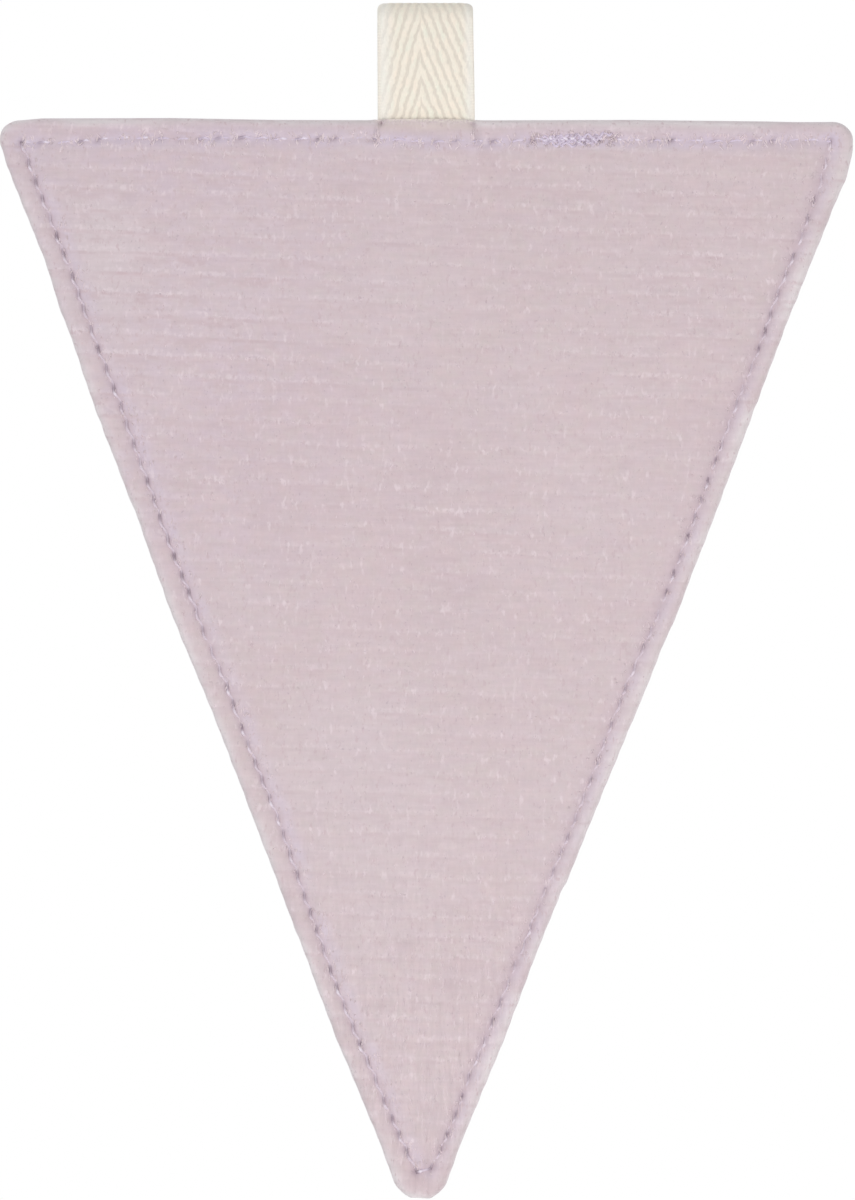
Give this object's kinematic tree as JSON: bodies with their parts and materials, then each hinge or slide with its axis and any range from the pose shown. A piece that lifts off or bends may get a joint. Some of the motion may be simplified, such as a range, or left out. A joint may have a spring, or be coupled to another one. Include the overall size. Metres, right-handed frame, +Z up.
{
  "type": "fabric bunting pennant",
  "caption": "Triangular bunting pennant of ribbed velvet, sewn and turned, topstitched round its edge, hung by a loop of cotton tape.",
  "frame": {"origin": "inside of the hang loop's fold, at the middle of the tape's width, where a line would carry it", "axes": "+Z up, from the pennant's point to its loop; -Y towards the viewer of the front; +X to the right seen from the front, along the line through the loop"},
  "size_m": [0.1759, 0.0088, 0.2469],
  "materials": {
    "velvet": "short-pile ribbed velvet, lilac mauve, soft sheen",
    "tape": "natural cotton herringbone tape, matt",
    "thread": "lilac polyester sewing thread, slight lustre"
  },
  "bodies": {
    "root": {"front_panel": "velvet", "back_panel": "velvet", "hang_loop": "tape"}
  },
  "joints": []
}
